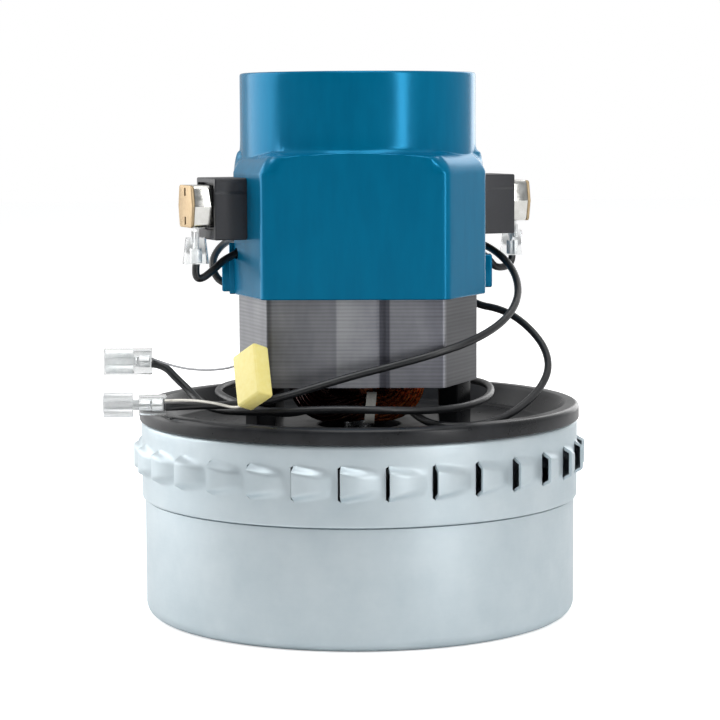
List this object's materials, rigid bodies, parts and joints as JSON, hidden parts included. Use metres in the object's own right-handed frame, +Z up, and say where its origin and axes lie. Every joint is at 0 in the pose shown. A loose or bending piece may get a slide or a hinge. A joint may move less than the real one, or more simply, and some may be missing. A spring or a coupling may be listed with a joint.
{
  "type": "vacuum motor unit",
  "caption": "Upright two-stage vacuum motor: louvred round fan casing, laminated stator, moulded brush housing with round neck, free leads and capacitor.",
  "frame": {"origin": "centre of the casing's flat bottom, on the motor axis", "axes": "+Z up along the motor axis towards the neck, +X to the viewer's right in the picture, +Y away from the viewer"},
  "size_m": [0.1597, 0.1522, 0.18],
  "materials": {
    "casing_steel": "pale zinc-plated drawn sheet",
    "bracket_black": "satin black coat",
    "zinc_steel": "zinc plated",
    "sheet_aluminium": "plain sheet",
    "lamination_steel": "stacked lamination edges",
    "winding_wire": "enamelled copper",
    "liner_paper": "slot paper",
    "lacing_tape": "woven tape",
    "teal_moulding": "satin moulded plastic",
    "bearing_steel": "ground steel",
    "black_insulation": "satin insulation",
    "tinned_metal": "tinned",
    "clear_sleeve": "clear soft plastic",
    "yellow_case": "satin film capacitor case",
    "shaft_steel": "ground steel",
    "commutator_copper": "turned copper bars",
    "fan_moulding": "moulded plastic",
    "black_moulding": "satin moulded plastic",
    "nickel_tube": "nickel plated",
    "brass_cap": "pale brass",
    "spring_steel": "spring steel",
    "carbon": "carbon"
  },
  "bodies": {
    "frame": {"lower_can": "casing_steel", "louvred_band": "casing_steel", "upper_bracket": "bracket_black", "stage_plate": "sheet_aluminium", "stator_core": "lamination_steel", "front_field_coil": "winding_wire", "rear_field_coil": "winding_wire", "slot_liners": "liner_paper", "lacing_tapes": "lacing_tape", "clamping_screws": "zinc_steel", "commutator_housing": "teal_moulding", "lower_bearing": "bearing_steel", "upper_bearing": "bearing_steel", "right_brush_holder": "black_moulding", "right_brush_tube": "nickel_tube", "right_brush_cap": "brass_cap", "right_brush_spring": "spring_steel", "right_brush_terminal": "brass_cap", "right_terminal_sleeve": "clear_sleeve", "right_brush_lead": "black_insulation", "left_brush_holder": "black_moulding", "left_brush_tube": "nickel_tube", "left_brush_cap": "brass_cap", "left_brush_spring": "spring_steel", "left_brush_terminal": "brass_cap", "left_terminal_sleeve": "clear_sleeve", "left_brush_lead": "black_insulation", "coil_link_lead": "black_insulation", "supply_lead_lower": "black_insulation", "supply_lead_upper": "black_insulation", "lower_spade_terminal": "tinned_metal", "upper_spade_terminal": "tinned_metal", "lower_spade_cover": "clear_sleeve", "upper_spade_cover": "clear_sleeve", "capacitor": "yellow_case", "capacitor_wire_upper": "tinned_metal", "capacitor_wire_lower": "tinned_metal"},
    "rotor": {"shaft": "shaft_steel", "armature_core": "lamination_steel", "armature_winding": "winding_wire", "commutator": "commutator_copper", "first_impeller": "sheet_aluminium", "second_impeller": "sheet_aluminium", "stage_spacer": "shaft_steel", "bearing_spacer": "shaft_steel", "impeller_washer": "zinc_steel", "impeller_nut": "zinc_steel", "cooling_fan": "fan_moulding", "cooling_fan_nut": "zinc_steel"},
    "right_brush": {"right_carbon_brush": "carbon"},
    "left_brush": {"left_carbon_brush": "carbon"}
  },
  "joints": [
    {"name": "rotor_spin", "type": "hinge", "parent": "frame", "child": "rotor", "pos_m": [0, 0, 0.1], "axis": [0, 0, 1], "continuous": true},
    {"name": "right_brush_slide", "type": "slide", "parent": "frame", "child": "right_brush", "axis": [0.9272, 0.3746, 0], "range_m": [0, 0.004], "stiffness_N_per_m": 180, "springref_m": -0.01, "deforming": ["right_brush_spring"]},
    {"name": "left_brush_slide", "type": "slide", "parent": "frame", "child": "left_brush", "axis": [-0.9272, -0.3746, 0], "range_m": [0, 0.004], "stiffness_N_per_m": 180, "springref_m": -0.01, "deforming": ["left_brush_spring"]}
  ]
}
